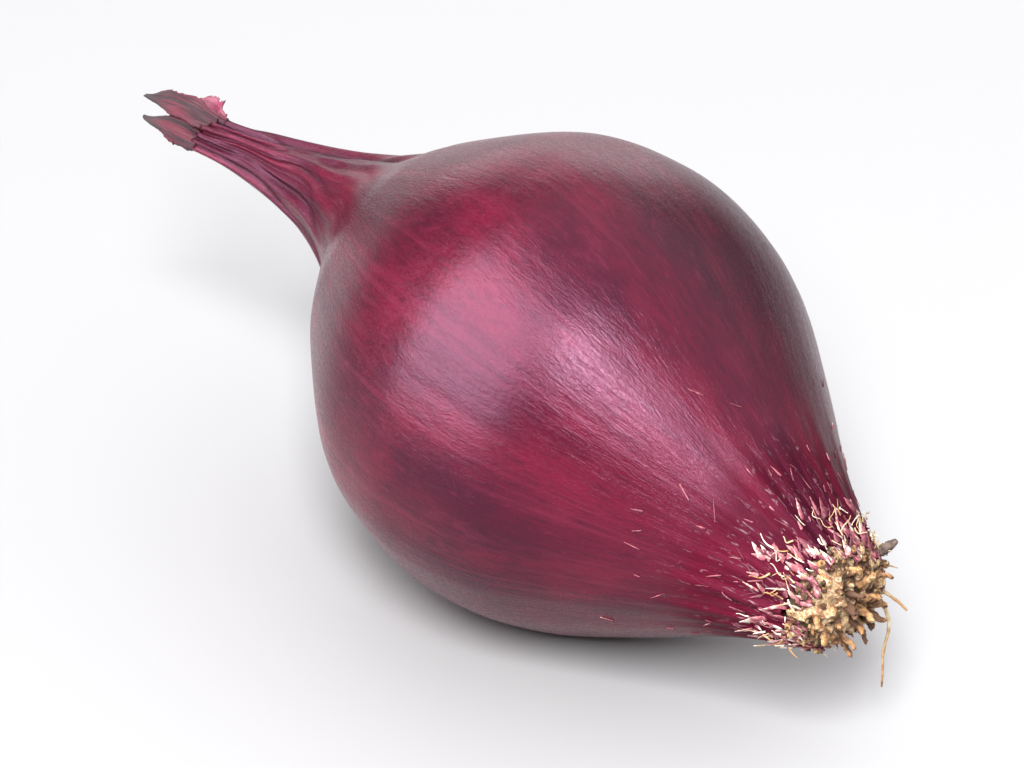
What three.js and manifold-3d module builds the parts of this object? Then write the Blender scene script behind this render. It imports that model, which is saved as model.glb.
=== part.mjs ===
// Red onion set: a small dried onion bulb, grown and sold for planting, lying on its side.
//
// Millimetres, +Z up. The origin is the middle of the small flat spot that the bulb rests on, so the
// surface under it is z = 0. The bulb lies along X: its root end points to +X and its neck to -X, and
// its axis is tilted a few degrees, root end down, which is how it balances.
//
// Pieces:
//   bulb           fleshy bulb with its dry skin, which runs unbroken up into the drawn-out neck
//   root_plate     the corky disc at the root end
//   root_NN        short broken dried roots on the plate
//   root_strand_N  dried roots that kept their length
//   dark_root      a blackened root stub at the plate's rim
//   leaf_tip_N     withered leaf ends that stick out of the neck
//   skin_flap      torn lip of the dry skin at the end of the neck

import * as THREE from "three";
import Module from "manifold-3d";
import { mergeVertices } from "three/addons/utils/BufferGeometryUtils.js";

// Driving dimensions.
const BULB_RADIUS = 10.5;
const NECK_END = 39.6; // station where the skin of the neck is torn off
const TILT = THREE.MathUtils.degToRad(8); // root end down
const FLAT_DEPTH = 0.16; // how much of the belly the resting spot takes off
const JOIN_GAP = 0.1; // between pieces that grow out of each other
const PLATE_RADIUS = 2.4;
const PLATE_HEIGHT = 1.6;
const ROOT_COUNT = 20;
const ROOT_RADIUS = 0.2;
const STRAND_RADIUS = 0.09;
const LEAF_HALF_WIDTH = 0.5;
const LEAF_HALF_THICKNESS = 0.25;

// Fineness of the meshes.
const BULB_SIDES = 48;
const BULB_RINGS = 44;
const PLATE_SIDES = 24;
const PLATE_RINGS = 8;
const ROOT_SIDES = 6;
const ROOT_STEPS = 4;
const STRAND_STEPS = 10;
const LEAF_SIDES = 10;
const LEAF_STEPS = 8;

const GOLDEN_ANGLE = Math.PI * (3 - Math.sqrt(5));

const material = (color, roughness) => new THREE.MeshStandardMaterial({ color, roughness, metalness: 0 });
const SKIN = material(0x7a2345, 0.35);
const LEAF = material(0x8c2f4a, 0.6);
const PLATE = material(0xb8935f, 0.9);
const ROOT = material(0xc9ab7c, 0.85);
const DARK_ROOT = material(0x4a3a38, 0.85);

// ---------------------------------------------------------------------------------------------
// The bulb's own frame: Y runs from the root plate, at 0, towards the neck. X is sideways, Z is up.
// ---------------------------------------------------------------------------------------------

// Radius, as a share of the bulb's, against station, from the lip round the root plate to the end of
// the neck.
const outline = new THREE.SplineCurve(
  [
    [0.25, 0],
    [0.42, 3.5],
    [0.69, 8],
    [0.905, 12],
    [0.992, 15.5],
    [0.99, 18.5],
    [0.9, 21.8],
    [0.635, 26],
    [0.35, 29.8],
    [0.2, 33.2],
    [0.115, 37],
    [0.095, NECK_END - 0.25],
  ].map(([share, station]) => new THREE.Vector2(share * BULB_RADIUS, station)),
);

// The neck leaves the bulb a little to one side and then leans back the other way.
const LEAN_START = 26;
const LEAN_TURN = 30;
const LEAN_OUT = 0.6;
const LEAN_BACK = 2.9;
const LEAN_LENGTH = 11;
function lean(station) {
  const out = LEAN_OUT * THREE.MathUtils.smoothstep(station, LEAN_START, LEAN_TURN);
  const back = Math.max(0, station - LEAN_TURN) / LEAN_LENGTH;
  return out - LEAN_BACK * back * Math.sqrt(back);
}

// Shallow lobes run the length of the bulb, and the neck is pressed a little flat.
const LOBES = [
  { count: 3, height: 0.008, turn: 0.6 },
  { count: 5, height: 0.005, turn: 2.1 },
];
const NECK_FLATNESS = 0.14;
function roundness(angle, station) {
  const lobes = LOBES.reduce((sum, { count, height, turn }) => sum + height * Math.cos(count * angle + turn), 1);
  const pressed = NECK_FLATNESS * THREE.MathUtils.smoothstep(station, LEAN_START, NECK_END);
  return lobes + pressed * Math.cos(2 * angle);
}

function bulbGeometry() {
  const side = outline.getSpacedPoints(BULB_RINGS);
  const profile = [new THREE.Vector2(0, 0), ...side, new THREE.Vector2(0, NECK_END)];
  const geometry = new THREE.LatheGeometry(profile, BULB_SIDES);
  const position = geometry.attributes.position;
  for (let i = 0; i < position.count; i += 1) {
    const [x, station, z] = [position.getX(i), position.getY(i), position.getZ(i)];
    const scale = roundness(Math.atan2(z, x), station);
    position.setXYZ(i, x * scale + lean(station), station, z * scale);
  }
  return geometry;
}

// A round or flattened piece along a curve. section(u) gives its half-width and half-thickness at the
// share u of its length, and face is the direction that the thickness is measured in.
function drawnOut(curve, sides, steps, section, face) {
  const geometry = new THREE.CylinderGeometry(1, 1, 1, sides, steps);
  const position = geometry.attributes.position;
  for (let i = 0; i < position.count; i += 1) {
    const u = THREE.MathUtils.clamp(position.getY(i) + 0.5, 0, 1);
    const tangent = curve.getTangentAt(u);
    const across = new THREE.Vector3().crossVectors(tangent, face).normalize();
    const through = new THREE.Vector3().crossVectors(across, tangent).normalize();
    const [halfWidth, halfThickness] = section(u);
    const point = curve
      .getPointAt(u)
      .addScaledVector(across, position.getX(i) * halfWidth)
      .addScaledVector(through, position.getZ(i) * halfThickness);
    position.setXYZ(i, point.x, point.y, point.z);
  }
  return geometry;
}

// ---------------------------------------------------------------------------------------------
// Root end.
// ---------------------------------------------------------------------------------------------

const plateHeightAt = (radius) => PLATE_HEIGHT * Math.sqrt(Math.max(0, 1 - (radius / PLATE_RADIUS) ** 2));

function plateGeometry() {
  const dome = new THREE.EllipseCurve(0, -JOIN_GAP, PLATE_RADIUS, PLATE_HEIGHT, -Math.PI / 2, 0);
  const profile = [...dome.getPoints(PLATE_RINGS), new THREE.Vector2(0, -JOIN_GAP)];
  profile[0].x = 0;
  return new THREE.LatheGeometry(profile, PLATE_SIDES);
}

// A root starts just off the plate and tapers to half its thickness. Each point of its route says how far
// it has gone outwards from the plate's middle, away from the plate, and up, all from its foot.
function rootGeometry({ distance, angle, radius, steps, route }) {
  const outward = new THREE.Vector3(Math.cos(angle), 0, Math.sin(angle));
  const foot = new THREE.Vector3(0, -JOIN_GAP - radius - plateHeightAt(distance), 0);
  foot.addScaledVector(outward, distance);
  const points = [[0, 0, 0], ...route].map(([out, away, up]) =>
    new THREE.Vector3(0, -away, up).addScaledVector(outward, out).add(foot),
  );
  const taper = (u) => [radius * (1 - 0.5 * u), radius * (1 - 0.5 * u)];
  const sideways = new THREE.Vector3(0, 1, 0).cross(outward);
  return drawnOut(new THREE.CatmullRomCurve3(points), ROOT_SIDES, steps, taper, sideways);
}

// ---------------------------------------------------------------------------------------------
// Leaf ends at the tip of the neck. They lie edge to edge across it, and are thin the other way.
// ---------------------------------------------------------------------------------------------

const EDGEWAYS = new THREE.Vector3(0.73, 0, 0.68).normalize();
const FACING = new THREE.Vector3(-0.68, 0, 0.73).normalize();

// Each point of the route is a station past the end of the neck, a distance edgeways and one facing.
function leafGeometry(halfWidth, halfThickness, route) {
  const points = route.map(([past, edgeways, facing]) =>
    new THREE.Vector3(lean(NECK_END), NECK_END + JOIN_GAP + past, 0)
      .addScaledVector(EDGEWAYS, edgeways)
      .addScaledVector(FACING, facing),
  );
  const rounded = (u) => Math.sqrt(Math.sin(Math.PI * (0.25 + 0.72 * u)));
  const section = (u) => [halfWidth * rounded(u), halfThickness * rounded(u)];
  return drawnOut(new THREE.CatmullRomCurve3(points), LEAF_SIDES, LEAF_STEPS, section, FACING);
}

// ---------------------------------------------------------------------------------------------
// The group: everything in the bulb's frame is tipped over together, root end towards +X and down.
// ---------------------------------------------------------------------------------------------

// The station that touches the surface is the one whose underside is lowest once the axis is tilted.
function restingStation() {
  const drop = (p) => p.x * Math.cos(TILT) - p.y * Math.sin(TILT);
  return outline.getPoints(2000).reduce((best, p) => (drop(p) > drop(best) ? p : best));
}
const touching = restingStation();

const lying = new THREE.Group();
lying.rotation.set(0, TILT, Math.PI / 2, "YXZ");
lying.updateMatrixWorld(true);
const underside = new THREE.Vector3(0, touching.y, -touching.x).applyMatrix4(lying.matrixWorld);
lying.position.set(-underside.x, 0, -underside.z - FLAT_DEPTH);
lying.updateMatrixWorld(true);

const root = new THREE.Group();
root.add(lying);

function place(name, geometry, look) {
  const mesh = new THREE.Mesh(geometry, look);
  mesh.name = name;
  lying.add(mesh);
}

// The bulb, with the resting spot cut off its belly.
const wasm = await Module();
wasm.setup();

function toManifold(geometry, matrix) {
  const bare = geometry.clone().applyMatrix4(matrix);
  bare.deleteAttribute("normal");
  bare.deleteAttribute("uv");
  const merged = mergeVertices(bare, 1e-4);
  return new wasm.Manifold(
    new wasm.Mesh({
      numProp: 3,
      vertProperties: new Float32Array(merged.attributes.position.array),
      triVerts: new Uint32Array(merged.index.array),
    }),
  );
}

function fromManifold(solid) {
  const mesh = solid.getMesh();
  const geometry = new THREE.BufferGeometry();
  geometry.setAttribute("position", new THREE.BufferAttribute(mesh.vertProperties, 3));
  geometry.setIndex(new THREE.BufferAttribute(mesh.triVerts, 1));
  geometry.computeVertexNormals();
  return geometry;
}

const SURFACE_SIZE = 30;
const SURFACE_THICKNESS = 4;
const surface = new THREE.BoxGeometry(SURFACE_SIZE, SURFACE_SIZE, SURFACE_THICKNESS);
const belowZero = new THREE.Matrix4().makeTranslation(0, 0, -SURFACE_THICKNESS / 2);
const rested = toManifold(bulbGeometry(), lying.matrixWorld).subtract(toManifold(surface, belowZero));
const bulb = new THREE.Mesh(fromManifold(rested), SKIN);
bulb.name = "bulb";
root.add(bulb);

place("root_plate", plateGeometry(), PLATE);

// Short roots, spread over the plate like seeds on a sunflower. The outer ones bend outwards.
const ROOT_LENGTHS = [0.9, 0.5, 0.75, 0.4, 0.6];
for (let i = 0; i < ROOT_COUNT; i += 1) {
  const share = Math.sqrt((i + 0.5) / ROOT_COUNT);
  const length = ROOT_LENGTHS[i % ROOT_LENGTHS.length] * (1.1 - 0.4 * share);
  const bend = 0.75 * share * length;
  const geometry = rootGeometry({
    distance: (PLATE_RADIUS - 2 * ROOT_RADIUS) * share,
    angle: i * GOLDEN_ANGLE,
    radius: ROOT_RADIUS,
    steps: ROOT_STEPS,
    route: [
      [0.3 * bend, 0.5 * length, 0],
      [bend, length, 0],
    ],
  });
  place(`root_${String(i + 1).padStart(2, "0")}`, geometry, ROOT);
}

// Two dried roots kept their length: one hangs down clear of the surface, one is short and points away.
const hanging = rootGeometry({
  distance: PLATE_RADIUS - STRAND_RADIUS,
  angle: THREE.MathUtils.degToRad(-24),
  radius: STRAND_RADIUS,
  steps: STRAND_STEPS,
  route: [
    [0.4, 0.5, -0.3],
    [0.5, 0.8, -1.3],
    [0.25, 0.75, -2.4],
    [0.35, 0.95, -4.2],
  ],
});
place("root_strand_1", hanging, ROOT);

const pointing = rootGeometry({
  distance: PLATE_RADIUS - STRAND_RADIUS,
  angle: THREE.MathUtils.degToRad(-12),
  radius: STRAND_RADIUS,
  steps: STRAND_STEPS,
  route: [
    [0.3, 0.5, -0.1],
    [0.5, 1.4, -0.4],
  ],
});
place("root_strand_2", pointing, ROOT);

const stub = rootGeometry({
  distance: PLATE_RADIUS + ROOT_RADIUS,
  angle: THREE.MathUtils.degToRad(27),
  radius: ROOT_RADIUS,
  steps: ROOT_STEPS,
  route: [
    [0.5, 0.15, 0],
    [0.9, 0.2, 0],
  ],
});
place("dark_root", stub, DARK_ROOT);

const upperLeaf = leafGeometry(LEAF_HALF_WIDTH, LEAF_HALF_THICKNESS, [
  [0, 0.5, 0],
  [2, 0.25, 0.1],
  [4.1, -0.6, 0.4],
]);
place("leaf_tip_1", upperLeaf, LEAF);

const lowerLeaf = leafGeometry(0.84 * LEAF_HALF_WIDTH, LEAF_HALF_THICKNESS, [
  [0, -0.5, 0],
  [1.8, -0.75, 0],
  [3.6, -1.35, 0.1],
]);
place("leaf_tip_2", lowerLeaf, LEAF);

const flap = leafGeometry(1.2 * LEAF_HALF_WIDTH, 0.5 * LEAF_HALF_THICKNESS, [
  [0, 0.35, -0.5],
  [1.1, 0.6, -0.55],
  [2.2, 0.4, -0.5],
]);
place("skin_flap", flap, SKIN);

export default root;
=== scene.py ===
# A red onion set: one small dried onion bulb on its side, with a drawn-out neck and a root plate.
import math

import bpy
import numpy as np
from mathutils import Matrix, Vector, noise


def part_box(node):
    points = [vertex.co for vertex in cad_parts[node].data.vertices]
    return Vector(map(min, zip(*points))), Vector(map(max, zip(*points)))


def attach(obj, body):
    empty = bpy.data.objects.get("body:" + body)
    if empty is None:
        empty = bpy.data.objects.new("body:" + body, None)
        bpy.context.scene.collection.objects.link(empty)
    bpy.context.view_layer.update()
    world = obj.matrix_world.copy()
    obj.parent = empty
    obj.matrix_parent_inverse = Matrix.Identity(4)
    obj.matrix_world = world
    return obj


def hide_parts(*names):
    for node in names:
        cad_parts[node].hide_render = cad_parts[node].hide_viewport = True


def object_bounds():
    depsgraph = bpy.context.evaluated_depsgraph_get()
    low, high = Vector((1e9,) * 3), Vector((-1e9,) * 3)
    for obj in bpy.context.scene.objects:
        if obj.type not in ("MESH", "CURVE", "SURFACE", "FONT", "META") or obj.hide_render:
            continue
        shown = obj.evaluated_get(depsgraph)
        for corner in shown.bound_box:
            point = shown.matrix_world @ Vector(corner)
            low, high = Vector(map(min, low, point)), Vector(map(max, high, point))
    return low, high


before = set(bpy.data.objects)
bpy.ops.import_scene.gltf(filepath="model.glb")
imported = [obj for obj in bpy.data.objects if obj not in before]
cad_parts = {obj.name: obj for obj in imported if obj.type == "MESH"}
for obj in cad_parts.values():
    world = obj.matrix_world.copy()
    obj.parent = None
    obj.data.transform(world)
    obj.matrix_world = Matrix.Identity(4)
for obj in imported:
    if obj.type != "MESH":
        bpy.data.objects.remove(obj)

cad_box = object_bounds()

# ------------------------------------------------------------------------------------------------
# Camera, floor and lights. The bulb is looked down on from its root end, a little to one side. A
# narrow soft box stands over the camera, a tall one to its left, a wide dim one overhead and a small
# one behind. The room is pale all round.
# ------------------------------------------------------------------------------------------------
AZIMUTH = math.radians(50)
ELEVATION = math.radians(31)
CAMERA_DISTANCE = 0.3
LENS = 245
AIM_DROP = 0.0019

scene = bpy.context.scene
scene.view_settings.view_transform = "Standard"


def seen_from(azimuth, elevation):
    level = math.cos(elevation)
    return Vector((math.sin(azimuth) * level, -math.cos(azimuth) * level, math.sin(elevation)))


aim = (cad_box[0] + cad_box[1]) / 2 - Vector((0, 0, AIM_DROP))
camera = bpy.data.objects.new("camera", bpy.data.cameras.new("camera"))
camera.data.lens = LENS
camera.location = aim + CAMERA_DISTANCE * seen_from(AZIMUTH, ELEVATION)
camera.rotation_euler = (aim - camera.location).to_track_quat("-Z", "Y").to_euler()
scene.collection.objects.link(camera)
scene.camera = camera

LIGHT_DISTANCE = 0.5
SOFT_BOXES = {  # azimuth and elevation in degrees, width and height in metres, power in watts
    "soft_box_over_camera": (46, 46, 0.14, 0.22, 3.6),
    "soft_box_left": (-15, 36, 0.46, 0.66, 10.0),
    "soft_box_overhead": (140, 66, 0.9, 0.9, 3.0),
    "soft_box_behind": (230, 20, 0.42, 0.3, 0.7),
}
for name, (azimuth, elevation, width, height, power) in SOFT_BOXES.items():
    lamp = bpy.data.lights.new(name, "AREA")
    lamp.shape = "RECTANGLE"
    lamp.size = width
    lamp.size_y = height
    lamp.energy = power
    stand = bpy.data.objects.new(name, lamp)
    stand.location = aim + LIGHT_DISTANCE * seen_from(math.radians(azimuth), math.radians(elevation))
    stand.rotation_euler = (aim - stand.location).to_track_quat("-Z", "Y").to_euler()
    scene.collection.objects.link(stand)

room = bpy.data.worlds.new("pale_room")
room.use_nodes = True
room.node_tree.nodes["Background"].inputs["Color"].default_value = (1.0, 0.97, 1.0, 1)
room.node_tree.nodes["Background"].inputs["Strength"].default_value = 0.28
scene.world = room

FLOOR_HALF = 2.0
floor_mesh = bpy.data.meshes.new("floor")
corners = [(-FLOOR_HALF, -FLOOR_HALF, 0), (FLOOR_HALF, -FLOOR_HALF, 0)]
corners += [(FLOOR_HALF, FLOOR_HALF, 0), (-FLOOR_HALF, FLOOR_HALF, 0)]
floor_mesh.from_pydata(corners, [], [(0, 1, 2, 3)])
floor_paint = bpy.data.materials.new("floor_paint")
floor_paint.use_nodes = True
floor_paint.node_tree.nodes["Principled BSDF"].inputs["Base Color"].default_value = (0.54, 0.54, 0.55, 1)
floor_paint.node_tree.nodes["Principled BSDF"].inputs["Roughness"].default_value = 0.7
floor_mesh.materials.append(floor_paint)
floor = bpy.data.objects.new("floor", floor_mesh)
scene.collection.objects.link(floor)

# The box to the left is flagged off the floor, so that the bulb's shadow falls softly to the left.
flagged = bpy.data.collections.new("flagged_off")
flagged.objects.link(floor)
flagged.collection_objects[0].light_linking.link_state = "EXCLUDE"
bpy.data.objects["soft_box_left"].light_linking.receiver_collection = flagged

# ------------------------------------------------------------------------------------------------
# The bulb's skin. A red onion wears several dry, papery scales over the fleshy ones; the outermost
# runs unbroken from a ragged lip round the root plate up into the pinched and folded neck. It is
# glossy, deep purple-red, veined lengthwise, and scuffed pale near the roots.
# ------------------------------------------------------------------------------------------------
MM = 0.001
TILT = math.radians(8)  # the bulb lies root end down
NECK_END = 39.6  # millimetres from the root plate

# Stations along the bulb are counted in millimetres from the back of the root plate to the neck.
plate_low, plate_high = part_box("root_plate")
plate_radius = (plate_high.y - plate_low.y) / 2 / MM
LENGTHWAYS = np.array([-math.cos(TILT), 0, math.sin(TILT)])
SIDEWAYS = np.array([0.0, 1.0, 0.0])
UPWARDS = np.array([math.sin(TILT), 0, math.cos(TILT)])
PLATE_GAP = 0.1
plate_back_x = plate_low.x / MM + plate_radius * math.sin(TILT)
plate_back = np.array([plate_back_x, 0, (plate_low.z + plate_high.z) / 2 / MM])
station_zero = plate_back + PLATE_GAP * LENGTHWAYS

bulb_low, bulb_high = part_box("bulb")
LOBED = 1.0052  # the shallow lobes stand this much proud of the mean radius, sideways
bulb_radius = (bulb_high.y - bulb_low.y) / 2 / MM / LOBED * 1.003
OUTLINE = [(0.25, 0), (0.42, 3.5), (0.69, 8), (0.905, 12), (0.992, 15.5), (0.99, 18.5), (0.9, 21.8)]
OUTLINE += [(0.635, 26), (0.35, 29.8), (0.2, 33.2), (0.115, 37), (0.095, NECK_END - 0.25)]


def smooth_step(value, start, end):
    share = np.clip((value - start) / (end - start), 0, 1)
    return share * share * (3 - 2 * share)


def through(points, count):
    """Evenly numbered points on a smooth curve through the given ones."""
    points = np.array(points, float)
    padded = np.vstack([points[0], points, points[-1]])
    place = np.linspace(0, len(points) - 1, count)
    span = np.minimum(place.astype(int), len(points) - 2)
    t = (place - span)[:, None]
    before, start, end, after = (padded[span + i] for i in range(4))
    leave, arrive = (end - before) / 2, (after - start) / 2
    bend = 2 * start - 2 * end + leave + arrive
    ease = 3 * end - 3 * start - 2 * leave - arrive
    return bend * t**3 + ease * t**2 + leave * t + start


outline = through(OUTLINE, 2400) * (bulb_radius, 1)


def radius_at(station):
    return np.interp(station, outline[:, 1], outline[:, 0])


def lean_at(station):
    """How far the neck's middle lies sideways: out at first, and then back the other way."""
    back = np.maximum(0, station - 30) / 11
    return 0.6 * smooth_step(station, 26, 30) - 2.9 * back**1.5


def waves(angle, counts, rng, drift=0.0, station=0.0):
    """A sum of waves round the bulb, from -1 to 1 or so, with phases that drift along it."""
    total = 0
    for count in counts:
        turn, slide = rng.uniform(0, 2 * math.pi), rng.uniform(-drift, drift)
        total = total + rng.uniform(0.5, 1) * np.cos(count * angle + turn + slide * station)
    return total / math.sqrt(len(counts))


def creases(angle, counts, rng, drift=0.0, station=0.0):
    """Sharp folds round the neck, 0 on the flats and down to -1 in the crease."""
    total = 0
    for count in counts:
        turn, slide = rng.uniform(0, 2 * math.pi), rng.uniform(-drift, drift)
        total = total - np.abs(np.cos((count * angle + turn + slide * station) / 2)) ** 7
    return total / len(counts)


def neck_creases(angle, station):
    rng = np.random.RandomState(6)
    slow_twist = 0.12 * np.sin(0.55 * station + 2 * np.sin(angle))
    quick_twist = 0.06 * np.sin(1.7 * station + 3 * angle)
    return creases(angle + slow_twist + quick_twist, (5, 7, 9, 12), rng, 0.08, station)


def skin_height(angle, station):
    """How far the skin stands off the smooth bulb, in millimetres."""
    rng = np.random.RandomState(3)
    veins = 0.006 * waves(angle, range(34, 72, 3), rng, 0.02, station)
    flats = 0.022 * waves(angle, range(7, 19), rng, 0.02, station)
    belly = smooth_step(station, 1, 7) * (1 - smooth_step(station, 25, 30))
    folded = smooth_step(station, 25.5, 34)
    folds = 0.85 * neck_creases(angle, station) + 0.08 * waves(angle, range(9, 26, 2), rng, 0.06, station)
    puckered = 1 - smooth_step(station, 0.5, 7)
    puckers = 0.09 * waves(angle, range(14, 40, 3), rng, 0.12, station)
    return veins + flats * belly + folds * folded * (0.3 + radius_at(station) / 5) + puckers * puckered


def roundness(angle, station):
    lobes = 1 + 0.008 * np.cos(3 * angle + 0.6) + 0.005 * np.cos(5 * angle + 2.1)
    return lobes + 0.14 * smooth_step(station, 26, NECK_END) * np.cos(2 * angle)


def in_frame(station, across, up):
    """From the bulb's own directions to the frame's, in millimetres. Nothing goes below the floor."""
    placed = station_zero + np.multiply.outer(station, LENGTHWAYS)
    placed = placed + np.multiply.outer(across, SIDEWAYS) + np.multiply.outer(up, UPWARDS)
    placed[..., 2] = np.maximum(placed[..., 2], 0)
    return placed


def on_skin(angle, station, lift=0.0):
    """The point of the skin at an angle round the bulb and a station along it."""
    out = radius_at(station) * roundness(angle, station) + skin_height(angle, station) + lift
    return in_frame(station, lean_at(station) + out * np.cos(angle), out * np.sin(angle))


def new_piece(name, points, faces, finish, marks=None):
    """A smooth mesh piece from points in millimetres. marks are numbers kept at each point."""
    mesh = bpy.data.meshes.new(name)
    mesh.from_pydata((np.asarray(points) * MM).tolist(), [], faces)
    mesh.materials.append(finish)
    for mark, values in (marks or {}).items():
        values = np.asarray(values, np.float32)
        kind = "FLOAT_VECTOR" if values.ndim == 2 else "FLOAT"
        layer = mesh.attributes.new(mark, kind, "POINT")
        layer.data.foreach_set("vector" if values.ndim == 2 else "value", values.ravel())
    mesh.shade_smooth()
    piece = bpy.data.objects.new(name, mesh)
    scene.collection.objects.link(piece)
    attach(piece, "root")
    return piece


def hoops(rows, sides, first=0):
    """Faces between hoops of points, closed by a fan at each end. The two end points come last."""
    faces = []
    for row in range(rows - 1):
        for side in range(sides):
            a, b = first + row * sides + side, first + row * sides + (side + 1) % sides
            faces.append((a, b, b + sides, a + sides))
    start, end = first + rows * sides, first + rows * sides + 1
    last = first + (rows - 1) * sides
    for side in range(sides):
        after = (side + 1) % sides
        faces.append((start, first + after, first + side))
        faces.append((end, last + side, last + after))
    return faces


class Finish:
    """A material whose nodes are wired by short calls."""

    def __init__(self, name, **sockets):
        self.material = bpy.data.materials.new(name)
        self.material.use_nodes = True
        self.tree = self.material.node_tree
        self.surface = self.tree.nodes["Principled BSDF"]
        for socket, value in sockets.items():
            self.surface.inputs[socket.replace("_", " ")].default_value = value

    def node(self, kind, **inputs):
        made = self.tree.nodes.new("ShaderNode" + kind)
        for socket, value in inputs.items():
            self.feed(made.inputs[socket.replace("_", " ")], value)
        return made

    def feed(self, socket, value):
        if isinstance(value, bpy.types.NodeSocket):
            self.tree.links.new(value, socket)
        else:
            socket.default_value = value

    def mark(self, name, output="Fac"):
        made = self.node("Attribute")
        made.attribute_name = name
        return made.outputs[output]

    def stretched(self, vector, by):
        made = self.node("VectorMath")
        made.operation = "MULTIPLY"
        self.feed(made.inputs[0], vector)
        made.inputs[1].default_value = by
        return made.outputs[0]

    def speckle(self, vector, scale, detail=3.0, roughness=0.55, distortion=0.0):
        made = self.node("TexNoise", Vector=vector, Scale=scale, Detail=detail)
        made.inputs["Roughness"].default_value = roughness
        made.inputs["Distortion"].default_value = distortion
        return made.outputs["Fac"]

    def range(self, value, low, high, start=0.0, end=1.0):
        made = self.node("MapRange")
        made.interpolation_type = "SMOOTHSTEP"
        for index, entry in enumerate((value, low, high, start, end)):
            self.feed(made.inputs[index], entry)
        return made.outputs[0]

    def sum(self, operation, first, second):
        made = self.node("Math")
        made.operation = operation
        self.feed(made.inputs[0], first)
        self.feed(made.inputs[1], second)
        return made.outputs[0]

    def mix(self, share, first, second):
        made = self.node("Mix")
        made.data_type = "RGBA"
        self.feed(made.inputs["Factor"], share)
        for index, value in ((6, first), (7, second)):
            if isinstance(value, tuple) and len(value) == 3:
                value = (*value, 1)
            self.feed(made.inputs[index], value)
        return made.outputs[2]

    def bump(self, height, distance, strength=1.0, under=None):
        made = self.node("Bump", Height=height, Distance=distance, Strength=strength)
        if under is not None:
            self.feed(made.inputs["Normal"], under)
        return made.outputs["Normal"]

    def wear(self, socket, value):
        self.feed(self.surface.inputs[socket], value)


# The points of the skin, hoop by hoop from the root end, with a ragged lip at both ends.
RINGS = 300
SIDES = 264
along = np.concatenate([[0], np.cumsum(np.hypot(*np.diff(outline, axis=0).T))])
stations = np.interp(np.linspace(0, along[-1], RINGS), along, outline[:, 1])
angle_grid, station_grid = np.meshgrid(np.arange(SIDES) * 2 * math.pi / SIDES, stations)
lip_rng = np.random.RandomState(8)
root_rag = 0.22 * waves(angle_grid[0], range(11, 60, 4), lip_rng) - 0.15
neck_rag = 0.1 * waves(angle_grid[0], range(3, 30, 3), lip_rng)
station_grid = station_grid + root_rag * np.exp(-station_grid / 0.5)
station_grid = station_grid + neck_rag * smooth_step(station_grid, NECK_END - 1.5, NECK_END)
skin_points = on_skin(angle_grid, station_grid)


def turned_in(station, share):
    """A hoop inside the skin, at a share of its radius."""
    out = radius_at(station) * share
    across = lean_at(station) + out * np.cos(angle_grid[0])
    return in_frame(np.full(SIDES, station), across, out * np.sin(angle_grid[0]))


ROOT_TURN_IN = (0.6, 0.4)  # stations of the hoops turned in behind the lip
NECK_TURN_IN = (0.9, 1.6)  # how far back from the end of the neck the others are
inner_root = [turned_in(ROOT_TURN_IN[0], 0.5), turned_in(ROOT_TURN_IN[1], 0.8)]
inner_neck = [turned_in(NECK_END - NECK_TURN_IN[0], 0.72), turned_in(NECK_END - NECK_TURN_IN[1], 0.6)]
skin_hoops = np.vstack([inner_root, skin_points, inner_neck])
root_close = 0.7
root_end = in_frame(root_close, 0.0, 0.0)
neck_close = NECK_END - 1.8
neck_end = in_frame(neck_close, float(lean_at(neck_close)), 0.0)
all_points = np.vstack([skin_hoops.reshape(-1, 3), root_end, neck_end])

inside = np.full((1, SIDES), 0.0)
angles = np.vstack([angle_grid[:1]] * 2 + [angle_grid] + [angle_grid[:1]] * 2)
lengths = [inside + station for station in ROOT_TURN_IN] + [station_grid]
lengths = np.vstack(lengths + [inside + NECK_END - back for back in NECK_TURN_IN])


def with_ends(grid, start, end):
    return np.concatenate([grid.ravel(), [start, end]])


around = with_ends(angles, 0, 0)
station_mark = with_ends(lengths, root_close, neck_close)
skin_mark = np.stack([np.cos(around), np.sin(around), station_mark / 10], 1)


def patch(angle, station, width, length):
    """A soft-edged patch on the skin, 1 at its middle."""
    turned = (around - angle + math.pi) % (2 * math.pi) - math.pi
    return np.exp(-((turned / width) ** 2) - ((station_mark - station) / length) ** 2)


# Dark brown-purple clouds lie on the upper side, and brighter crimson ones by the neck and the roots.
dark_mark = 0.9 * patch(1.35, 12, 0.5, 5) + 0.5 * patch(-0.5, 14, 0.35, 6) + 0.6 * patch(3.4, 14, 0.6, 6)
dark_mark = dark_mark + 0.35 * patch(-1.6, 20, 0.5, 4) + 0.5 * patch(2.4, 24, 0.4, 5)
crimson_mark = 0.8 * patch(-1.9, 25, 0.6, 4) + 0.8 * patch(0.9, 26, 0.7, 4) + 0.7 * patch(0.2, 5, 0.5, 4)
crimson_mark = crimson_mark + 0.7 * patch(2.6, 6, 0.7, 4) + 0.6 * patch(-1.0, 9, 0.3, 6)

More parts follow.
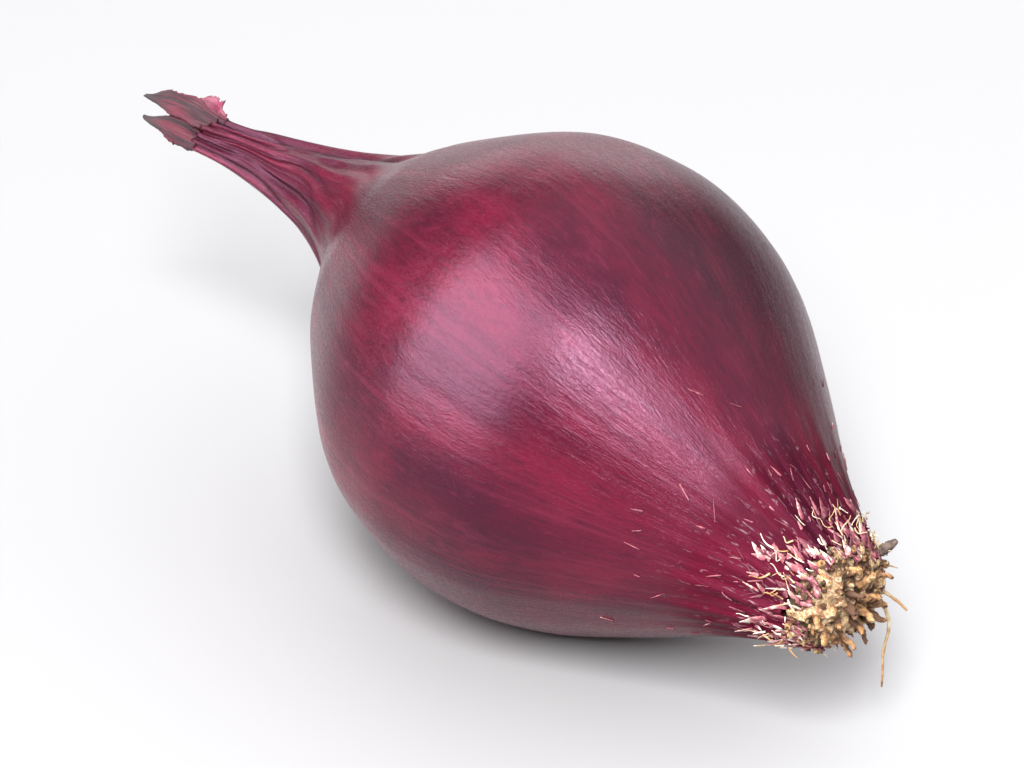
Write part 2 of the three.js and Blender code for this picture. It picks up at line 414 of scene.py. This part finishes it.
skin = Finish("onion_skin", Specular_Tint=(1.0, 0.52, 0.78, 1))
grain = skin.mark("skin", "Vector")
cloud = skin.speckle(skin.stretched(grain, (2.2, 2.2, 1.4)), 1.0, 4, 0.6)
streak = skin.speckle(skin.stretched(grain, (9, 9, 3)), 1.0, 4, 0.65, 0.5)
fine_streak = skin.speckle(skin.stretched(grain, (40, 40, 10)), 1.0, 4, 0.7, 0.6)
hair_streak = skin.speckle(skin.stretched(grain, (100, 100, 42)), 1.0, 2, 0.7)
vein = skin.speckle(skin.stretched(grain, (21, 21, 0.35)), 1.0, 1, 0.4, 0.15)
fray = skin.speckle(skin.stretched(grain, (24, 24, 16)), 1.0, 4, 0.7, 0.8)
PURPLE = (0.033, 0.0013, 0.0072)
CRIMSON = (0.08, 0.0031, 0.013)
BROWN = (0.015, 0.0024, 0.0062)
VEIN_PINK = (0.115, 0.0125, 0.033)
PALE = (0.27, 0.15, 0.18)
colour = skin.mix(skin.range(cloud, 0.38, 0.68), PURPLE, CRIMSON)
colour = skin.mix(skin.mark("crimson"), colour, CRIMSON)
darkness = skin.sum("MULTIPLY", skin.mark("dark"), skin.range(streak, 0.25, 0.6, 0.45, 1))
colour = skin.mix(darkness, colour, BROWN)
colour = skin.mix(skin.range(streak, 0.55, 0.8, 0, 0.35), colour, VEIN_PINK)
colour = skin.mix(skin.range(fine_streak, 0.3, 0.52, 0.5, 0), colour, BROWN)
colour = skin.mix(skin.range(fine_streak, 0.55, 0.8, 0, 0.4), colour, VEIN_PINK)
colour = skin.mix(skin.range(vein, 0.6, 0.74, 0, 0.2), colour, VEIN_PINK)
# Painted shade: the skin is darkened towards brown down in the neck's creases, by how deep each fold is.
colour = skin.mix(skin.range(skin.mark("crease"), 0.15, 0.6, 0, 0.85), colour, BROWN)
frayed = skin.sum("MULTIPLY", skin.range(fray, 0.57, 0.68), skin.mark("frayed"))
colour = skin.mix(frayed, colour, PALE)
skin.wear("Base Color", colour)
gloss = skin.range(hair_streak, 0.3, 0.7, 0.22, 0.34)
worn = skin.sum("ADD", skin.sum("MULTIPLY", frayed, 0.3), skin.sum("MULTIPLY", skin.mark("frayed"), 0.3))
skin.wear("Roughness", skin.sum("ADD", gloss, worn))
skin.wear("Specular IOR Level", skin.range(skin.mark("frayed"), 0, 0.4, 0.38, 0.1))
ribbed = skin.bump(fine_streak, 0.00008, 0.35)
ribbed = skin.bump(hair_streak, 0.00003, 0.4, ribbed)
skin.wear("Normal", skin.bump(frayed, 0.00008, 0.6, ribbed))

# The depth of the neck's folds, which sets the painted shade in the creases.
crease_shade_mark = -neck_creases(around, station_mark) * smooth_step(station_mark, 26, 32)
frayed_mark = (1 - smooth_step(station_mark, 0.3, 7.5)) ** 2
marks = {"skin": skin_mark, "dark": np.clip(dark_mark, 0, 1)}
marks |= {"crimson": np.clip(crimson_mark, 0, 1), "frayed": frayed_mark, "crease": crease_shade_mark}
bulb = new_piece("bulb_skin", all_points, hoops(RINGS + 4, SIDES), skin.material, marks)
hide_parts("bulb")

# ------------------------------------------------------------------------------------------------
# The root plate: the short corky stem at the bottom of the bulb, where the roots and the scales
# grow from. It is a lumpy dome, pitted where roots have broken off, straw-coloured to brown,
# with painted shade near black in the low spots between the lumps.
# ------------------------------------------------------------------------------------------------
PLATE_RINGS = 70
PLATE_SIDES = 150
PLATE_REACH = 1.35  # how far the dome stands out from the lip
PLATE_KNOBS = 170
GOLDEN_ANGLE = math.pi * (3 - math.sqrt(5))
plate_rng = np.random.RandomState(5)
knob_share = np.sqrt((np.arange(PLATE_KNOBS) + 0.5) / PLATE_KNOBS)
knob_angle = np.arange(PLATE_KNOBS) * GOLDEN_ANGLE + plate_rng.uniform(-0.25, 0.25, PLATE_KNOBS)
knob_flat = np.stack([knob_share * np.cos(knob_angle), knob_share * np.sin(knob_angle)], 1)
knob_height = plate_rng.uniform(0.02, 0.34, PLATE_KNOBS)
knob_width = plate_rng.uniform(0.05, 0.1, PLATE_KNOBS)


def plate_lumps(across, up):
    """Lumps on the plate, in millimetres. across and up are shares of its radius."""
    spread = (across[..., None] - knob_flat[:, 0]) ** 2 + (up[..., None] - knob_flat[:, 1]) ** 2
    knob = np.exp(-spread / knob_width**2)
    return (knob * knob_height).sum(-1)


bend = np.linspace(0.04, math.pi / 2, PLATE_RINGS)
plate_angle, plate_bend = np.meshgrid(np.arange(PLATE_SIDES) * 2 * math.pi / PLATE_SIDES, bend)
share_out = np.sin(plate_bend)
lumps = plate_lumps(share_out * np.cos(plate_angle), share_out * np.sin(plate_angle))
rough_edge = 1 + 0.03 * waves(plate_angle, range(7, 40, 3), plate_rng)
plate_out = (plate_radius + 0.35 * lumps * share_out) * share_out * rough_edge
plate_rise = (PLATE_REACH - 0.15) * np.cos(plate_bend)
plate_away = -PLATE_GAP - plate_rise - lumps * (0.35 + 0.65 * np.cos(plate_bend))
plate_points = in_frame(plate_away, plate_out * np.cos(plate_angle), plate_out * np.sin(plate_angle))
PLATE_TUCK = 0.35  # station that the dome's edge is tucked in to
tuck_out = plate_out[-1] * 0.9
tuck_across, tuck_up = tuck_out * np.cos(plate_angle[-1]), tuck_out * np.sin(plate_angle[-1])
tucked = in_frame(np.full(PLATE_SIDES, PLATE_TUCK), tuck_across, tuck_up)
plate_middle = in_frame(float(plate_away[0].mean()), 0.0, 0.0)
plate_behind = in_frame(PLATE_TUCK, 0.0, 0.0)
plate_all = np.vstack([plate_points.reshape(-1, 3), tucked, plate_middle, plate_behind])
lump_mark = np.concatenate([lumps.ravel(), np.zeros(PLATE_SIDES), [lumps[0].mean(), 0]])

cork = Finish("root_plate_cork", Roughness=0.9, Specular_IOR_Level=0.25)
place = cork.node("TexCoord").outputs["Object"]
cork_cloud = cork.speckle(place, 2400, 4, 0.65)
cork_grit = cork.speckle(place, 8000, 3, 0.7)
STRAW = (0.46, 0.30, 0.15)
CREAM = (0.66, 0.52, 0.37)
RUST = (0.25, 0.10, 0.04)
PIT_SHADE = (0.045, 0.024, 0.014)
cork_colour = cork.mix(cork.range(cork_cloud, 0.42, 0.6), RUST, STRAW)
cork_colour = cork.mix(cork.range(cork_grit, 0.45, 0.65, 0, 0.9), cork_colour, CREAM)
# Painted shade: where the dome lies low between its lumps it is painted near black, as the shade in the pits.
lump_level = cork.sum("ADD", cork.mark("lump"), cork.range(cork_cloud, 0, 1, -0.14, 0.14))
pitted = cork.range(lump_level, 0.04, 0.26, 0.95, 0)
cork.wear("Base Color", cork.mix(pitted, cork_colour, PIT_SHADE))
cork.wear("Normal", cork.bump(cork_grit, 0.0001, 0.8, cork.bump(cork_cloud, 0.0002, 0.8)))
plate_faces = hoops(PLATE_RINGS + 1, PLATE_SIDES)
plate = new_piece("root_plate_dome", plate_all, plate_faces, cork.material, {"lump": lump_mark})
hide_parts("root_plate")

# ------------------------------------------------------------------------------------------------
# The short roots: stubs of the roots that fed the bulb, dried, shrivelled and broken off a
# millimetre from the plate. They grow out of it, straw-coloured to brown, and are hollow.
# ------------------------------------------------------------------------------------------------
plate_heart = station_zero


def centre_line(node, count):
    """Points down the middle of a long CAD node, from the end that is nearer to the plate's heart."""
    points = np.array([corner.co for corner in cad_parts[node].data.vertices]) / MM
    middle = points.mean(0)
    direction = np.linalg.svd(points - middle)[2][0]
    share = (points - middle) @ direction
    share = (share - share.min()) / np.ptp(share)
    start, end = points[share < 0.1].mean(0), points[share > 0.9].mean(0)
    if np.linalg.norm(start - plate_heart) > np.linalg.norm(end - plate_heart):
        share = 1 - share
    line = []
    for step in np.linspace(0, 1, count):
        weight = np.exp(-(((share - step) / (0.6 / count)) ** 2)) + 1e-12
        line.append((points * weight[:, None]).sum(0) / weight.sum())
    return np.array(line)


def tube(line, radii, sides, first=0, fall_in=0.0):
    """Points and faces of a closed round tube along a line. fall_in hollows its far end."""
    line = np.asarray(line)
    along_line = np.gradient(line, axis=0)
    along_line /= np.linalg.norm(along_line, axis=1)[:, None]
    reference = np.array([0.31, 0.87, 0.38])
    first_side = np.cross(along_line, reference)
    first_side /= np.linalg.norm(first_side, axis=1)[:, None]
    second_side = np.cross(along_line, first_side)
    turn = np.arange(sides) * 2 * math.pi / sides
    radii = np.asarray(radii)
    if radii.ndim == 1:
        radii = np.repeat(radii[:, None], sides, 1)
    ring = line[:, None] + radii[..., None] * (
        np.cos(turn)[None, :, None] * first_side[:, None] + np.sin(turn)[None, :, None] * second_side[:, None]
    )
    ends = [line[0], line[-1] - fall_in * along_line[-1]]
    return np.vstack([ring.reshape(-1, 3), ends]), hoops(len(line), sides, first)


dry_root = Finish("dried_root", Roughness=0.85, Specular_IOR_Level=0.3)
root_place = dry_root.node("TexCoord").outputs["Object"]
root_cloud = dry_root.speckle(root_place, 2600, 3, 0.6)
root_grit = dry_root.speckle(root_place, 9000, 2, 0.6)
root_tone = dry_root.sum("ADD", dry_root.mark("tone"), dry_root.range(root_cloud, 0.2, 0.8, -0.3, 0.3))
root_colour = dry_root.mix(dry_root.range(root_tone, 0.1, 0.45), (0.10, 0.05, 0.03), (0.36, 0.19, 0.08))
root_colour = dry_root.mix(dry_root.range(root_tone, 0.4, 0.75), root_colour, (0.46, 0.34, 0.19))
root_colour = dry_root.mix(dry_root.range(root_tone, 0.75, 1.05), root_colour, (0.64, 0.56, 0.45))
dry_root.wear("Base Color", root_colour)
dry_root.wear("Normal", dry_root.bump(root_grit, 0.00006, 0.8))

ROOT_COUNT = 20
ROOT_HOOPS = 14
ROOT_SIDES = 14
ROOT_THICK = 0.19
root_rng = np.random.RandomState(12)
for number in range(1, ROOT_COUNT + 1):
    node = f"root_{number:02d}"
    line = centre_line(node, 5)
    sunk = line[0] - 0.5 * (line[1] - line[0]) / np.linalg.norm(line[1] - line[0])
    line = through([sunk, *line[:4]], ROOT_HOOPS)
    share = np.linspace(0, 1, ROOT_HOOPS)
    wander = np.cumsum(root_rng.normal(0, 0.035, (ROOT_HOOPS, 3)), 0)
    line = line + wander * share[:, None]
    thick = ROOT_THICK * root_rng.uniform(0.65, 1.05)
    swell = thick * (1 - 0.45 * share) * (1 + 0.12 * np.cos(9 * share + root_rng.uniform(0, 6)))
    flutes = 0.14 * root_rng.normal(0, 1, ROOT_SIDES)[None, :]
    ridged = 1 + flutes + 0.05 * root_rng.normal(0, 1, (ROOT_HOOPS, ROOT_SIDES))
    points, faces = tube(line, swell[:, None] * ridged, ROOT_SIDES, fall_in=0.35 * thick)
    tone = root_rng.uniform(0.05, 0.62)
    # Painted shade: each stub's tone is darker towards the plate and nearly black in its hollowed end.
    tones = np.concatenate([np.repeat(tone - 0.35 * (1 - share), ROOT_SIDES), [tone, 0.05]])
    stub = new_piece(f"dried_root_{number:02d}", points, faces, dry_root.material, {"tone": tones})
    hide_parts(node)

# ------------------------------------------------------------------------------------------------
# Two root hairs that kept their length, and one root stub that has gone black. The long hair hangs
# from the plate's rim by its own stiffness and stays clear of the floor.
# ------------------------------------------------------------------------------------------------
STRAND_HOOPS = 40
STRAND_SIDES = 8
STRAND_THICK = 0.085
for number, kink in ((1, 0.05), (2, 0.03)):
    node = f"root_strand_{number}"
    line = centre_line(node, 9)
    sunk = line[0] - 0.45 * (line[1] - line[0]) / np.linalg.norm(line[1] - line[0])
    line = through([sunk, *line], STRAND_HOOPS)
    share = np.linspace(0, 1, STRAND_HOOPS)
    line[:, 0] += kink * np.sin(11 * share)
    line[:, 1] += kink * np.cos(7 * share)
    radii = STRAND_THICK * (1.15 - 0.6 * share) * (1 + 0.1 * np.sin(23 * share))
    points, faces = tube(line, radii, STRAND_SIDES)
    tones = np.concatenate([np.repeat(0.95 - 0.55 * share, STRAND_SIDES), [0.9, 0.4]])
    strand = new_piece(f"root_hair_{number}", points, faces, dry_root.material, {"tone": tones})
    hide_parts(node)

black = Finish("black_root", Roughness=0.8, Specular_IOR_Level=0.35)
black_place = black.node("TexCoord").outputs["Object"]
black_cloud = black.speckle(black_place, 3000, 3, 0.6)
blackness = black.range(black_cloud, 0.35, 0.65)
black.wear("Base Color", black.mix(blackness, (0.035, 0.022, 0.02), (0.16, 0.11, 0.09)))
black.wear("Normal", black.bump(black_cloud, 0.00015, 0.8))
STUB_HOOPS = 24
STUB_SIDES = 16
STUB_THICK = 0.2
line = centre_line("dark_root", 5)
sunk = line[0] - 0.5 * (line[1] - line[0]) / np.linalg.norm(line[1] - line[0])
line = through([sunk, *line], STUB_HOOPS)
share = np.linspace(0, 1, STUB_HOOPS)
shape = STUB_THICK * (0.75 + 0.45 * np.sin(math.pi * share)) * (1 - 0.4 * share**4)
ridged = 1 + 0.12 * np.random.RandomState(2).normal(0, 1, (STUB_HOOPS, STUB_SIDES))
points, faces = tube(line, shape[:, None] * ridged, STUB_SIDES, fall_in=0.1)
black_stub = new_piece("black_root_stub", points, faces, black.material)
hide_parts("dark_root")

# ------------------------------------------------------------------------------------------------
# Knobs, fibres and shreds round the plate. Where the old scales and the thin roots have rotted away
# they leave knobby scars, straw-like fibres, and pale torn strips of skin that curl off the lip.
# ------------------------------------------------------------------------------------------------
KNOBS = 230
KNOB_SIDES = 10
KNOB_TAPER = np.array([1.1, 1.05, 1.0, 0.95, 0.9, 0.85, 0.72])
KNOB_HOOPS = len(KNOB_TAPER)
bits_rng = np.random.RandomState(21)
knob_points, knob_faces, knob_tones = [], [], []
for number in range(KNOBS):
    turn = number * GOLDEN_ANGLE + 0.7
    out = 0.25 + 0.75 * math.sqrt((number + 0.5) / KNOBS)
    foot_out = plate_radius * min(out, 0.985)
    foot_away = -PLATE_GAP - (PLATE_REACH - 0.3) * math.sqrt(max(0.0, 1 - min(out, 0.985) ** 2))
    outward = np.array([math.cos(turn), math.sin(turn)])
    length = bits_rng.uniform(0.05, 0.4)
    thick = bits_rng.uniform(0.05, 0.17)
    lift = np.linspace(-0.25, length, KNOB_HOOPS)
    splay = out * 0.8 + bits_rng.uniform(-0.2, 0.5)
    side_out = foot_out + lift * splay + bits_rng.normal(0, 0.03, KNOB_HOOPS)
    line = in_frame(foot_away - lift * (1.1 - 0.5 * out), side_out * outward[0], side_out * outward[1])
    line = line + np.cumsum(bits_rng.normal(0, 0.03, (KNOB_HOOPS, 3)), 0)
    gnarled = 1 + 0.22 * bits_rng.normal(0, 1, (KNOB_HOOPS, KNOB_SIDES))
    first = sum(len(p) for p in knob_points)
    points, faces = tube(line, thick * KNOB_TAPER[:, None] * gnarled, KNOB_SIDES, first, 0.8 * thick)
    knob_points.append(points)
    knob_faces += faces
    # Painted shade: each knob is darkened at its foot among the others and in its hollowed tip.
    foot_and_tip_shade = np.append(np.repeat(np.linspace(0.45, 0, KNOB_HOOPS), KNOB_SIDES), [0.3, 0.5])
    knob_tones.append(bits_rng.uniform(0.0, 0.85) - foot_and_tip_shade)
knob_marks = {"tone": np.concatenate(knob_tones)}
knobs = new_piece("root_scars", np.vstack(knob_points), knob_faces, dry_root.material, knob_marks)

FIBRES = 90
FIBRE_HOOPS = 9
FIBRE_SIDES = 6
fibre_points, fibre_faces, fibre_tones = [], [], []
for number in range(FIBRES):
    turn = bits_rng.uniform(0, 2 * math.pi)
    start = bits_rng.uniform(-0.5, 1.2)
    length = bits_rng.uniform(0.2, 0.65)
    slant = bits_rng.normal(0, 0.7)
    share = np.linspace(0, 1, FIBRE_HOOPS)
    wobble = bits_rng.uniform(0.0, 0.06) * np.sin(bits_rng.uniform(3, 7) * share)
    angle = turn + slant * share * length / 3 + wobble
    station = start + share * length * bits_rng.choice([-1, 1], p=[0.35, 0.65])
    lift = 0.06 + 0.3 * share**1.5 * bits_rng.uniform(0, 1) + bits_rng.uniform(0, 0.15)
    line = on_skin(angle, np.maximum(station, -1.2), lift)
    radii = bits_rng.uniform(0.02, 0.045) * (1.1 - 0.7 * share)
    points, faces = tube(line, radii, FIBRE_SIDES, sum(len(p) for p in fibre_points))
    fibre_points.append(points)
    fibre_faces += faces
    fibre_tones.append(np.full(len(points), bits_rng.uniform(0.3, 1.2)))
fibre_marks = {"tone": np.concatenate(fibre_tones)}
fibres = new_piece("root_fibres", np.vstack(fibre_points), fibre_faces, dry_root.material, fibre_marks)


def strip(centre, side, half_widths, thickness, first):
    """Points and faces of a thin closed strip. side points across it."""
    normal = np.cross(np.gradient(centre, axis=0), side)
    normal /= np.linalg.norm(normal, axis=1)[:, None]
    wide = side * half_widths[:, None]
    cupped = 0.25 * half_widths[:, None] * normal
    thin = thickness / 2 * normal
    ring = np.stack([centre - wide + cupped - thin, centre - thin, centre + wide + cupped - thin,
                     centre + wide + cupped + thin, centre + thin, centre - wide + cupped + thin], 1)
    return np.vstack([ring.reshape(-1, 3), [centre[0], centre[-1]]]), hoops(len(centre), 6, first)


torn = Finish("torn_skin", Roughness=0.6, Specular_IOR_Level=0.5)
torn_place = torn.node("TexCoord").outputs["Object"]
torn_cloud = torn.speckle(torn_place, 4200, 3, 0.6)
torn_tone = torn.sum("ADD", torn.mark("tone"), torn.range(torn_cloud, 0.2, 0.8, -0.3, 0.3))
torn_colour = torn.mix(torn.range(torn_tone, 0.0, 0.45), (0.09, 0.009, 0.022), (0.28, 0.07, 0.09))
torn_colour = torn.mix(torn.range(torn_tone, 0.45, 0.95), torn_colour, (0.54, 0.47, 0.40))
torn.wear("Base Color", torn_colour)
torn.wear("Normal", torn.bump(torn_cloud, 0.00006, 0.6))


STRIP_HOOPS = 12


def shreds(name, count, rng, starts, lengths, widths, lifts, tones):
    """Many thin strips that start on the skin and lift off it, in one piece."""
    points_made, faces_made, tones_made = [], [], []
    for _ in range(count):
        turn = rng.uniform(0, 2 * math.pi)
        share = np.linspace(0, 1, STRIP_HOOPS)
        start = starts[0] + (starts[1] - starts[0]) * rng.uniform(0, 1) ** 1.7
        length = rng.uniform(*lengths)
        angle = turn + rng.normal(0, 0.12) * share * length
        station = start + share * length * rng.choice([-1, 1], p=[0.3, 0.7])
        lift = 0.015 + rng.uniform(*lifts) * share**1.6
        lift = lift - 0.45 * np.maximum(0, -station)
        centre = on_skin(angle, np.maximum(station, -1.1), lift)
        nudge = on_skin(angle + 0.05, np.maximum(station, -1.1), lift) - centre
        side = nudge / np.linalg.norm(nudge, axis=1)[:, None]
        half = rng.uniform(*widths) * np.sin(math.pi * (0.35 + 0.63 * share))
        half = half * (1 + 0.12 * rng.normal(0, 1, STRIP_HOOPS))
        points, faces = strip(centre, side, half, 0.03, sum(len(p) for p in points_made))
        points_made.append(points)
        faces_made += faces
        tones_made.append(np.append(np.repeat(rng.uniform(*tones) + 0.35 * share, 6), [0.4, 0.8]))
    marks_made = {"tone": np.concatenate(tones_made)}
    made = new_piece(name, np.vstack(points_made), faces_made, torn.material, marks_made)


shreds(
    "lip_shreds", 320, np.random.RandomState(31),
    starts=(-0.8, 1.5), lengths=(0.25, 0.8), widths=(0.04, 0.15), lifts=(0.02, 0.22), tones=(-0.2, 0.6),
)
shreds(
    "skin_flecks", 110, np.random.RandomState(32),
    starts=(0.8, 7.0), lengths=(0.2, 0.6), widths=(0.015, 0.045), lifts=(0.0, 0.05), tones=(-0.2, 0.3),
)

# ------------------------------------------------------------------------------------------------
# The leaf ends. What is left of the two withered leaves sticks out of the torn neck, flattened,
# ribbed lengthwise and black at the tips, with a flap of the skin torn loose beside them.
# ------------------------------------------------------------------------------------------------
EDGEWAYS = (0.73 * SIDEWAYS + 0.68 * UPWARDS) / math.hypot(0.73, 0.68)

withered = Finish("withered_leaf", Roughness=0.55, Specular_IOR_Level=0.5)
leaf_grain = withered.mark("skin", "Vector")
leaf_streak = withered.speckle(withered.stretched(leaf_grain, (5, 5, 2)), 1.0, 3, 0.65, 0.1)
leaf_fine = withered.speckle(withered.stretched(leaf_grain, (20, 20, 2.5)), 1.0, 3, 0.65, 0.1)
LEAF_DARK = (0.016, 0.0035, 0.008)
LEAF_RED = (0.09, 0.007, 0.02)
LEAF_PINK = (0.13, 0.022, 0.042)
LEAF_TIP_BLACK = (0.03, 0.022, 0.024)
leaf_colour = withered.mix(withered.range(leaf_streak, 0.42, 0.62), LEAF_DARK, LEAF_RED)
leaf_colour = withered.mix(withered.range(leaf_fine, 0.55, 0.8, 0, 0.6), leaf_colour, LEAF_PINK)
leaf_colour = withered.mix(withered.range(withered.mark("tone"), 0.55, 1.0), leaf_colour, LEAF_TIP_BLACK)
withered.wear("Base Color", leaf_colour)
withered.wear("Normal", withered.bump(leaf_fine, 0.0001, 0.7))

LEAF_HOOPS = 70
LEAF_KEPT = 11  # of twelve points down a CAD leaf end; the last sliver has broken off
LEAF_SIDES = 56
RIB_COUNTS = (2.3, 4.1, 6.7)


def leaf(name, node, foot, widths, thick, curl, seed, finish):
    """A flattened, ribbed blade along a CAD leaf end, rooted inside the neck."""
    rng = np.random.RandomState(seed)
    line = centre_line(node, 12)[:LEAF_KEPT]
    for _ in range(4):
        line[1:-1] = (line[:-2] + 2 * line[1:-1] + line[2:]) / 4
    heading = (line[1] - line[0]) / np.linalg.norm(line[1] - line[0])
    line = through([line[0] - foot * heading, *line], LEAF_HOOPS)
    share = np.linspace(0, 1, LEAF_HOOPS)
    headings = np.gradient(line, axis=0)
    headings /= np.linalg.norm(headings, axis=1)[:, None]
    across = EDGEWAYS - (headings @ EDGEWAYS)[:, None] * headings
    across /= np.linalg.norm(across, axis=1)[:, None]
    facing = np.cross(across, headings)
    turn = np.arange(LEAF_SIDES) * 2 * math.pi / LEAF_SIDES
    v = np.cos(turn)[None, :]
    half = through([(width, 0) for width in widths], LEAF_HOOPS)[:, 0]
    notched = 0.1 * np.sin(17 * share + seed) + 0.04 * rng.normal(0, 1, LEAF_HOOPS)
    ragged = 1 + notched[:, None] * np.sign(v) * np.abs(v) ** 3
    ribs = 0
    for count in RIB_COUNTS:
        rib_height, rib_turn = rng.uniform(0.4, 1), rng.uniform(0, 6)
        drift = 0.4 * np.sin(4 * share[:, None] + count)
        ribs = ribs + rib_height * np.cos(count * v + rib_turn + drift)
    ribs = ribs / len(RIB_COUNTS)
    width = half[:, None] * v * ragged
    fullness = np.sqrt(half / half.max())[:, None]
    depth = np.sin(turn)[None, :] * thick * fullness + curl * v**2 * half[:, None]
    depth = depth + 0.12 * np.sin(9 * share + 2 * seed)[:, None] * v
    depth = depth + 0.13 * ribs * np.sqrt(half)[:, None]
    ring = line[:, None] + width[..., None] * across[:, None] + depth[..., None] * facing[:, None]
    points = np.vstack([ring.reshape(-1, 3), [line[0], line[-1] + 0.05 * headings[-1]]])
    grain_across = np.repeat(np.cos(turn)[None], LEAF_HOOPS, 0)
    grain_through = np.repeat(np.sin(turn)[None] * 0.3, LEAF_HOOPS, 0)
    grain_along = np.repeat(share[:, None] * 0.6 + seed, LEAF_SIDES, 1)
    grain = np.stack([grain_across, grain_through, grain_along], -1).reshape(-1, 3)
    grain = np.vstack([grain, [[0, 0, seed], [0, 0, seed + 0.6]]])
    tones = np.concatenate([np.repeat(share, LEAF_SIDES), [0, 1]])
    made = new_piece(name, points, hoops(LEAF_HOOPS, LEAF_SIDES), finish, {"skin": grain, "tone": tones})
    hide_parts(node)


upper_widths = (0.42, 0.48, 0.54, 0.6, 0.6, 0.54, 0.5, 0.36, 0.2, 0.1)
leaf(
    "upper_leaf_end", "leaf_tip_1", foot=0.8, widths=upper_widths, thick=0.32, curl=0.4, seed=1,
    finish=withered.material,
)
lower_widths = (0.42, 0.5, 0.58, 0.62, 0.6, 0.55, 0.44, 0.32, 0.18, 0.1)
leaf(
    "lower_leaf_end", "leaf_tip_2", foot=0.6, widths=lower_widths, thick=0.32, curl=-0.35, seed=2,
    finish=withered.material,
)

flap_finish = Finish("flap_skin", Roughness=0.5, Specular_IOR_Level=0.5)
flap_grain = flap_finish.mark("skin", "Vector")
flap_streak = flap_finish.speckle(flap_finish.stretched(flap_grain, (11, 11, 1.5)), 1.0, 3, 0.6, 0.3)
FLAP_RED = (0.11, 0.012, 0.033)
FLAP_PINK = (0.22, 0.038, 0.08)
flap_colour = flap_finish.mix(flap_finish.range(flap_streak, 0.35, 0.65), FLAP_RED, FLAP_PINK)
flap_finish.wear("Base Color", flap_colour)
flap_finish.wear("Normal", flap_finish.bump(flap_streak, 0.0001, 0.5))
flap_widths = (0.6, 0.85, 1.0, 1.1, 1.1, 1.0, 0.85, 0.6, 0.25)
leaf(
    "skin_flap_lobe", "skin_flap", foot=0.15, widths=flap_widths, thick=0.07, curl=0.25, seed=3,
    finish=flap_finish.material,
)
